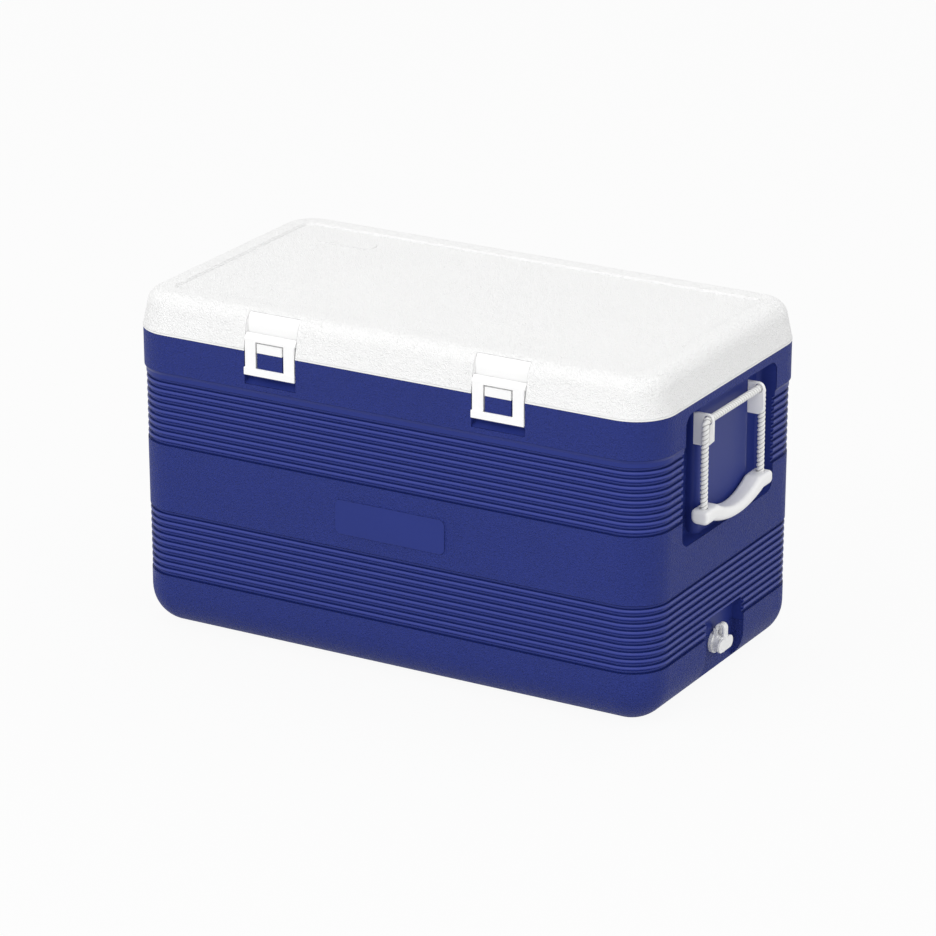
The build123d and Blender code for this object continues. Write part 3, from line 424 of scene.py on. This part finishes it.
def slab_mesh(name, loops, thickness, edge, place):
    """Plate with rounded edges. loops are its outline, anticlockwise, and its holes, clockwise."""
    shape = bmesh.new()
    rows = 5
    lower_cap, upper_cap = [], []
    for loop in loops:
        rings = []
        for level in range(2 * rows):
            upper = level >= rows
            turn = pi / 2 * ((level - rows) if upper else (rows - 1 - level)) / (rows - 1)
            ring = inset(loop, edge * (1 - cos(turn)))
            depth = thickness - edge * (1 - sin(turn)) if upper else edge * (1 - sin(turn))
            rings.append([shape.verts.new(place(point, depth)) for point in ring])
        for low, high in zip(rings, rings[1:]):
            for i in range(len(loop)):
                j = (i + 1) % len(loop)
                shape.faces.new((low[i], low[j], high[j], high[i]))
        lower_cap.append(rings[0])
        upper_cap.append(rings[-1])
    shape.edges.ensure_lookup_table()
    for rings in (lower_cap, upper_cap):
        edges = []
        for ring in rings:
            edges += [shape.edges.get((ring[i - 1], ring[i])) for i in range(len(ring))]
        bmesh.ops.triangle_fill(shape, use_beauty=True, use_dissolve=False, edges=edges)
    bmesh.ops.recalc_face_normals(shape, faces=shape.faces)
    mesh = bpy.data.meshes.new(name)
    shape.to_mesh(mesh)
    shape.free()
    return smooth_object(name, mesh, 50)


ear_outline = [Vector((pad_x - ear_foot, ear_low)), Vector((ear_tip - ear_chamfer, ear_low)),
               Vector((ear_tip, ear_low + ear_chamfer))]
ear_outline += arc((ear_tip - ear_round, ear_top - ear_round), ear_round, 0, 90, 8)
ear_outline.append(Vector((pad_x - ear_foot, ear_top)))
ear_hole = arc((rope_x, rope_z), rope_radius + ear_play, 360, 15, 23)
for side_name, side in (("left", -1), ("right", 1)):
    for end_name, face in (("front", -1), ("rear", 1)):
        name = side_name + "_" + end_name
        piece = slab_mesh("rounded_ear_" + name, (ear_outline, ear_hole), ear_thickness, ear_edge,
                          lambda point, depth: (side * point.x * mm, face * (ear_face - depth) * mm,
                                                point.y * mm))
        finish_piece(piece, "ear_plastic", "body", "handle_ear_" + name)


# ---- Grips ----
def grip_section(y):
    """Closed section of a grip across its length, rounder in the middle than under the ropes."""
    middle = max(0.0, 1 - (abs(y) / belly_half) ** 2)
    top, low = grip_top, grip_base
    if abs(y) < dip_half:
        top -= dip_depth * (1 - (y / dip_half) ** 2)
    if abs(y) < belly_half:
        low -= belly_depth * (1 - (y / belly_half) ** 2)
    beyond = max(0.0, abs(y) - (grip_tip - end_round)) / end_round
    pull = end_round * (1 - (1 - min(beyond, 1.0) ** 2) ** 0.5)
    half, top, low = grip_half - pull, top - pull, low + pull
    above = grip_top_round + grip_swell * min(1.0, 3 * middle) - 0.5 * pull
    below = grip_low_round - pull
    corners = ((half - below, low + below, below, -90), (half - above, top - above, above, 0),
               (above - half, top - above, above, 90), (below - half, low + below, below, 180))
    points = []
    for across, up, radius, first in corners:
        points += arc((across, up), radius, first, first + 90, 6)
    return points


def grip_mesh(name, side):
    """Soft grip with two bores that the rope's legs go into."""
    end_rows, half_rows = 7, 36
    stations = [-grip_tip + end_round * (1 - cos(pi / 2 * i / end_rows)) for i in range(end_rows + 1)]
    stations += [(grip_tip - end_round) * (i / half_rows - 1) for i in range(1, 2 * half_rows)]
    stations += [-y for y in reversed(stations[:end_rows + 1])]
    shape = bmesh.new()
    rings = []
    for y in stations:
        rings.append([shape.verts.new((side * (rope_x + p.x) * mm, y * mm, p.y * mm))
                      for p in grip_section(y)])
    for first, second in zip(rings, rings[1:]):
        for i in range(len(first)):
            j = (i + 1) % len(first)
            shape.faces.new((first[i], first[j], second[j], second[i]))
    shape.faces.new(rings[0])
    shape.faces.new(rings[-1])
    bmesh.ops.recalc_face_normals(shape, faces=shape.faces)
    mesh = bpy.data.meshes.new(name)
    shape.to_mesh(mesh)
    shape.free()
    cutters = bmesh.new()
    for y in (-leg_y, leg_y):
        place = Matrix.Translation((side * rope_x * mm, y * mm, grip_top * mm))
        bmesh.ops.create_cone(cutters, cap_ends=True, segments=40,
                              radius1=bore_radius * mm, radius2=bore_radius * mm,
                              depth=2 * bore_depth * mm, matrix=place)
    cutter_mesh = bpy.data.meshes.new(name + "_bores")
    cutters.to_mesh(cutter_mesh)
    cutters.free()
    blank = bpy.data.objects.new(name + "_blank", mesh)
    cutter = bpy.data.objects.new(name + "_bores", cutter_mesh)
    scene.collection.objects.link(blank)
    scene.collection.objects.link(cutter)
    cut = blank.modifiers.new("bores", "BOOLEAN")
    cut.operation, cut.object, cut.solver = "DIFFERENCE", cutter, "EXACT"
    graph = bpy.context.evaluated_depsgraph_get()
    bored = bpy.data.meshes.new_from_object(blank.evaluated_get(graph))
    bpy.data.objects.remove(blank)
    bpy.data.objects.remove(cutter)
    return smooth_object(name, bored, 40)


for side_name, side in (("left", -1), ("right", 1)):
    grip = grip_mesh("rounded_grip_" + side_name, side)
    finish_piece(grip, "grip_plastic", "handle_" + side_name, "handle_grip_" + side_name)


# ---- Twisted ropes ----
rings_per_pitch = 12
sides = 30


def rope_route():
    """Places along the handle's rope, with the sideways direction at each, in a plane x = 0."""
    step_length = strand_pitch / rings_per_pitch
    runs = [("line", Vector((0, -leg_y, rope_foot)), Vector((0, -leg_y, rope_z - rope_bend))),
            ("turn", Vector((0, -leg_y + rope_bend, rope_z - rope_bend)), 180, 90),
            ("line", Vector((0, -leg_y + rope_bend, rope_z)), Vector((0, leg_y - rope_bend, rope_z))),
            ("turn", Vector((0, leg_y - rope_bend, rope_z - rope_bend)), 90, 0),
            ("line", Vector((0, leg_y, rope_z - rope_bend)), Vector((0, leg_y, rope_foot)))]
    places = []
    for run in runs:
        if run[0] == "line":
            start, stop = run[1], run[2]
            count = max(2, round((stop - start).length / step_length))
            ahead = (stop - start).normalized()
            for i in range(count):
                places.append((start.lerp(stop, i / count), ahead))
        else:
            centre, first, last = run[1], radians(run[2]), radians(run[3])
            count = max(2, round(rope_bend * abs(last - first) / step_length))
            for i in range(count):
                angle = first + (last - first) * i / count
                out = Vector((0, cos(angle), sin(angle)))
                places.append((centre + out * rope_bend, Vector((0, sin(angle), -cos(angle)))))
    places.append((runs[-1][2], Vector((0, 0, -1))))
    return places


def twisted_rope(name, side):
    """One twisted rope as a tube whose section turns along it, with UVs in millimetres."""
    places = rope_route()
    verts, faces, uvs = [], [], []
    run = 0.0
    spans = []
    for index, (place, ahead) in enumerate(places):
        if index:
            run += (place - places[index - 1][0]).length
        spans.append(run)
        across = Vector((1, 0, 0))
        up = ahead.cross(across)
        for k in range(sides):
            angle = 2 * pi * k / sides
            phase = strand_count * angle - 2 * pi * run / strand_pitch
            radius = rope_radius - strand_depth * (1 - abs(cos(phase / 2)) ** 0.7)
            point = place + (across * cos(angle) + up * sin(angle)) * radius
            verts.append(((point.x + rope_x) * side * mm, point.y * mm, point.z * mm))
    for ring in range(len(places) - 1):
        for k in range(sides):
            after = (k + 1) % sides
            quad = [ring * sides + k, ring * sides + after, (ring + 1) * sides + after,
                    (ring + 1) * sides + k]
            across_a = 2 * pi * rope_radius * k / sides
            across_b = 2 * pi * rope_radius * (k + 1) / sides
            corner = [(across_a, spans[ring]), (across_b, spans[ring]),
                      (across_b, spans[ring + 1]), (across_a, spans[ring + 1])]
            if side < 0:
                quad.reverse()
                corner.reverse()
            faces.append(quad)
            uvs.extend(corner)
    last = (len(places) - 1) * sides
    caps = [list(range(sides)), list(range(last + sides - 1, last - 1, -1))]
    for cap in caps:
        if side > 0:
            cap.reverse()
        faces.append(cap)
        uvs.extend([(0, 0)] * sides)
    mesh = bpy.data.meshes.new(name)
    mesh.from_pydata(verts, [], faces)
    layer = mesh.uv_layers.new(name="rope")
    for loop, uv in enumerate(uvs):
        layer.data[loop].uv = uv
    mesh.polygons.foreach_set("use_smooth", [True] * len(faces))
    mesh.update()
    return bpy.data.objects.new(name, mesh)


for side_name, side in (("left", -1), ("right", 1)):
    rope = twisted_rope("twisted_rope_" + side_name, side)
    finish_piece(rope, "rope_fibre", "handle_" + side_name, "handle_rope_" + side_name)

# ---- Camera ----
yaw, pitch = radians(29.888), radians(20.032)
distance = 4.68179
backward = Vector((sin(yaw) * cos(pitch), -cos(yaw) * cos(pitch), sin(pitch)))
rightward = Vector((cos(yaw), sin(yaw), 0))
upward = backward.cross(rightward)
target = Vector((0.30764, -0.53097, 0.42416))
camera_data = bpy.data.cameras.new("camera")
camera_data.sensor_width = 36.0
camera_data.lens = 173.0
camera_data.clip_end = 200.0
camera = bpy.data.objects.new("camera", camera_data)
turn = Matrix((rightward, upward, backward)).transposed().to_4x4()
camera.matrix_world = Matrix.Translation(target + backward * distance) @ turn
scene.collection.objects.link(camera)
scene.camera = camera

# ---- Floor, world and lamps ----
floor_mesh = bpy.data.meshes.new("floor")
floor_mesh.from_pydata([(-60, -60, 0), (60, -60, 0), (60, 60, 0), (-60, 60, 0)], [], [(0, 1, 2, 3)])
floor = bpy.data.objects.new("floor", floor_mesh)
scene.collection.objects.link(floor)


def seen_directly(tree):
    """1 for camera, glossy and transmission rays."""
    path = node(tree, "ShaderNodeLightPath")
    both = math(tree, "ADD", path.outputs["Is Camera Ray"], path.outputs["Is Glossy Ray"])
    return math(tree, "ADD", both, path.outputs["Is Transmission Ray"], clamp=True)


floor_material = bpy.data.materials.new("floor_pale")
floor_material.use_nodes = True
tree = floor_material.node_tree
tree.nodes.remove(tree.nodes["Principled BSDF"])
plain = node(tree, "ShaderNodeBsdfDiffuse", {"Color": (0.60, 0.60, 0.60, 1)})
glow = node(tree, "ShaderNodeEmission", {"Color": (1, 1, 1, 1), "Strength": 1.0})
share = math(tree, "MULTIPLY", seen_directly(tree), 0.93)
mixed = node(tree, "ShaderNodeMixShader", {0: share, 1: plain.outputs[0], 2: glow.outputs[0]})
tree.links.new(mixed.outputs[0], tree.nodes["Material Output"].inputs["Surface"])
floor_mesh.materials.append(floor_material)

world = bpy.data.worlds.new("studio")
world.use_nodes = True
scene.world = world
tree = world.node_tree
sky = tree.nodes["Background"]
sky.inputs["Color"].default_value = (1, 1, 1, 1)
sky.inputs["Strength"].default_value = 0.83
pale = node(tree, "ShaderNodeBackground", {"Color": (1, 1, 1, 1), "Strength": 1.0})
mixed = node(tree, "ShaderNodeMixShader", {0: seen_directly(tree), 1: sky.outputs[0],
                                           2: pale.outputs[0]})
tree.links.new(mixed.outputs[0], tree.nodes["World Output"].inputs["Surface"])


def area_lamp(name, place, aim, size, power):
    """Round lamp that faces a point. size in metres, power in watts."""
    data = bpy.data.lights.new(name, "AREA")
    data.shape = "DISK"
    data.size = size
    data.energy = power
    lamp = bpy.data.objects.new(name, data)
    lamp.location = place
    lamp.rotation_euler = (Vector(aim) - Vector(place)).to_track_quat("-Z", "Y").to_euler()
    scene.collection.objects.link(lamp)


middle = (0, 0, 0.2)
area_lamp("key", (-1.2, -3.8, 2.9), middle, 2.2, 56.0)
area_lamp("front", (1.6, -4.0, 1.0), middle, 2.0, 24.0)
area_lamp("side", (3.8, -0.9, 1.7), middle, 2.2, 18.0)
area_lamp("top", (0.2, 0.4, 3.6), middle, 2.6, 15.0)

scene.view_settings.view_transform = "Standard"
